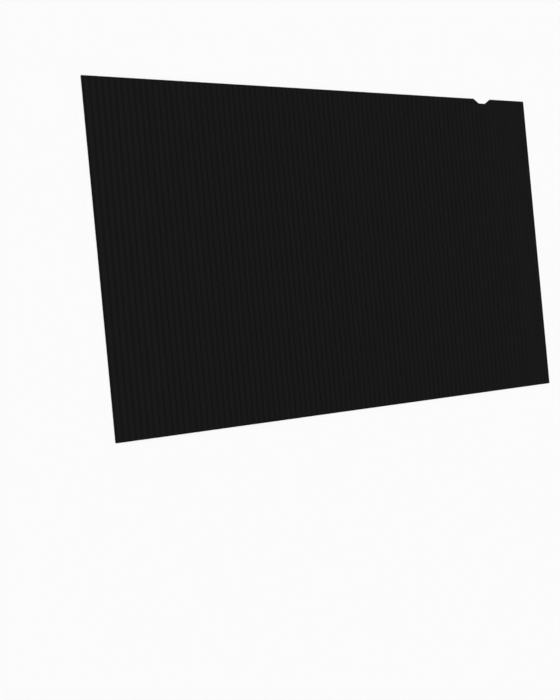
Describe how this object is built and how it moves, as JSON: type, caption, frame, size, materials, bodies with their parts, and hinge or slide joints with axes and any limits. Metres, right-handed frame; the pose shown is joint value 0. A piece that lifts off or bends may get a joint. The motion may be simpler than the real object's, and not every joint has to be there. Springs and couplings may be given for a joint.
{
  "type": "monitor privacy filter",
  "caption": "Flat thin rectangular sheet of dark louvred plastic film with a finger notch in its top edge; laid over a display, it darkens the picture for anyone looking from the side.",
  "frame": {"origin": "middle of the back face, on the surface that the sheet lies on", "axes": "+X along the width to the right as seen from the front, +Y up the height to the notched edge, +Z out of the front face"},
  "size_m": [0.531, 0.299, 0.0005],
  "materials": {
    "louvre_film": "satin"
  },
  "bodies": {
    "root": {"filter_sheet": "louvre_film"}
  },
  "joints": []
}
